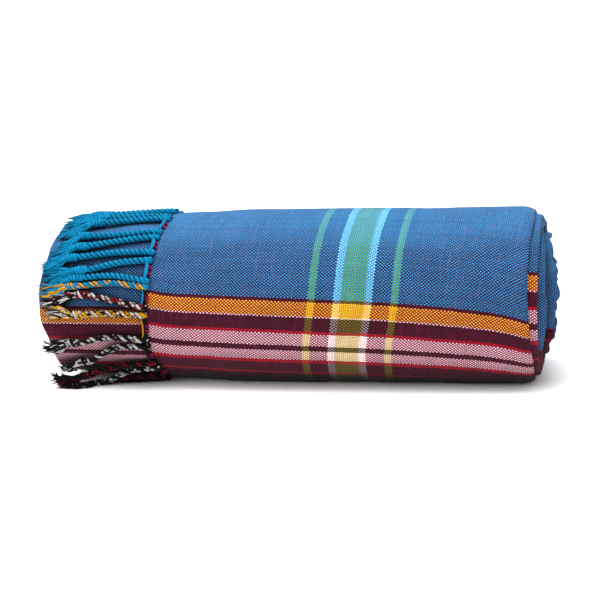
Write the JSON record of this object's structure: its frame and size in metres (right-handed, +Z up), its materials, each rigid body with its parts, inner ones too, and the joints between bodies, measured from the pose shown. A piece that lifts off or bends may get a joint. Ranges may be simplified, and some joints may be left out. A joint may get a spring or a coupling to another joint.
{
  "type": "rolled kikoi",
  "caption": "A striped cotton kikoi wrap cloth, folded into a strip and rolled up, with a twisted and knotted fringe over one end",
  "frame": {"origin": "centre of the bounding box in plan, on the surface the roll lies on", "axes": "+X along the roll, towards the end away from the fringe; +Y from the front to the back; +Z up"},
  "size_m": [0.2498, 0.085, 0.084],
  "materials": {
    "kikoi_cloth": "plain woven cotton, turquoise warp and dark burgundy weft, matt",
    "kikoi_fringe": "twisted and knotted cotton warp ends, matt"
  },
  "bodies": {
    "root": {"cloth_outer": "kikoi_cloth", "cloth_second": "kikoi_cloth", "cloth_third": "kikoi_cloth", "roll_inner": "kikoi_cloth", "fringe_outer": "kikoi_fringe"}
  },
  "joints": []
}
